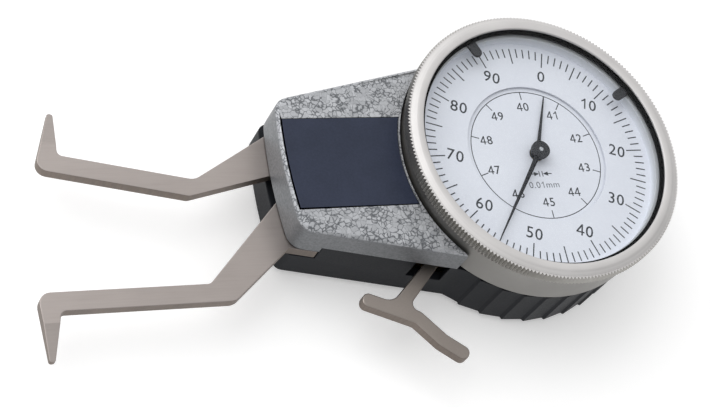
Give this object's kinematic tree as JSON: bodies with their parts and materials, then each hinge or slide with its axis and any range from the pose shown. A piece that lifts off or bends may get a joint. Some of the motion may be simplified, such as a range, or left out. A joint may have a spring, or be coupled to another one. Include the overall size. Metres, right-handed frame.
{
  "type": "internal dial caliper gauge",
  "caption": "Hand-held dial gauge for internal grooves: fixed and swinging arm with outward tips, T-shaped finger lever, two-hand dial under a turning knurled bezel.",
  "frame": {"origin": "On the dial axis, at the level of the flat back that the gauge lies on.", "axes": "+X from the arms to the dial, +Y to the zero of the inner dial, +Z out of the dial face."},
  "size_m": [0.133, 0.0691, 0.0256],
  "materials": {
    "case_plastic": "fine grained black",
    "cover_paint": "silver-grey hammertone",
    "plate_paint": "satin navy",
    "nickel_steel": "satin nickel plated",
    "bright_steel": "turned",
    "spring_steel": "drawn wire",
    "movement_brass": "machined",
    "bezel_chrome": "satin",
    "dial_white": "matt white",
    "hand_black": "matt black",
    "marker_dark": "dark grey",
    "ring_black": "black",
    "crystal_clear": "clear polished"
  },
  "bodies": {
    "body": {"back_case": "case_plastic", "front_cover": "cover_paint", "name_plate": "plate_paint", "chassis_plate": "movement_brass", "case_screws": "bright_steel", "fixed_arm": "nickel_steel", "arm_spacers": "bright_steel", "arm_screws": "bright_steel", "pivot_pin": "bright_steel", "pivot_clip": "spring_steel", "stop_pin": "bright_steel", "spring_post": "bright_steel", "return_spring": "spring_steel", "bridge_plate": "movement_brass", "bridge_pillars": "movement_brass", "bridge_screws": "bright_steel", "dial_posts": "movement_brass", "inner_dial": "dial_white", "hair_spring": "spring_steel", "bezel_wire": "spring_steel"},
    "swing_arm": {"moving_arm": "nickel_steel", "lift_lever": "nickel_steel", "gear_sector": "movement_brass", "hub_bush": "movement_brass", "hub_rivets": "bright_steel", "lever_rivets": "bright_steel", "spring_pin": "bright_steel"},
    "first_shaft": {"first_arbor": "bright_steel", "transfer_wheel": "movement_brass", "mm_driver": "movement_brass"},
    "long_hand": {"centre_arbor": "bright_steel", "long_pointer": "hand_black"},
    "short_hand": {"mm_wheel": "movement_brass", "short_pointer": "hand_black"},
    "bezel_unit": {"bezel": "bezel_chrome", "crystal": "crystal_clear", "shade_ring": "ring_black", "track_ring": "dial_white", "outer_dial": "dial_white", "bezel_retainer": "spring_steel"},
    "marker_left": {"limit_marker_a": "marker_dark"},
    "marker_right": {"limit_marker_b": "marker_dark"}
  },
  "joints": [
    {"name": "arm_swing", "type": "hinge", "parent": "body", "child": "swing_arm", "pos_m": [-0.0395, 0.005, 0], "axis": [0, 0, 1], "range_deg": [0, 11.6], "stiffness_Nm_per_rad": 0.12, "springref_deg": -17.19, "deforming": ["return_spring"]},
    {"name": "first_spin", "type": "hinge", "parent": "body", "child": "first_shaft", "pos_m": [-0.00763, 0.00988, 0], "axis": [0, 0, 1], "range_deg": [-348, 0]},
    {"name": "long_hand_spin", "type": "hinge", "parent": "body", "child": "long_hand", "pos_m": [0, 0, 0], "axis": [0, 0, 1], "range_deg": [0, 4176]},
    {"name": "short_hand_spin", "type": "hinge", "parent": "body", "child": "short_hand", "pos_m": [0, 0, 0], "axis": [0, 0, 1], "range_deg": [0, 417.6], "deforming": ["hair_spring"]},
    {"name": "bezel_turn", "type": "hinge", "parent": "body", "child": "bezel_unit", "pos_m": [0, 0, 0], "axis": [0, 0, 1], "continuous": true},
    {"name": "marker_left_slide", "type": "hinge", "parent": "bezel_unit", "child": "marker_left", "pos_m": [0, 0, 0], "axis": [0, 0, 1], "range_deg": [-30, 150]},
    {"name": "marker_right_slide", "type": "hinge", "parent": "bezel_unit", "child": "marker_right", "pos_m": [0, 0, 0], "axis": [0, 0, 1], "range_deg": [-150, 30]}
  ],
  "couplings": [
    {"joint": "first_spin", "follows": "arm_swing", "ratio": -30},
    {"joint": "long_hand_spin", "follows": "arm_swing", "ratio": 360},
    {"joint": "short_hand_spin", "follows": "arm_swing", "ratio": 36}
  ]
}
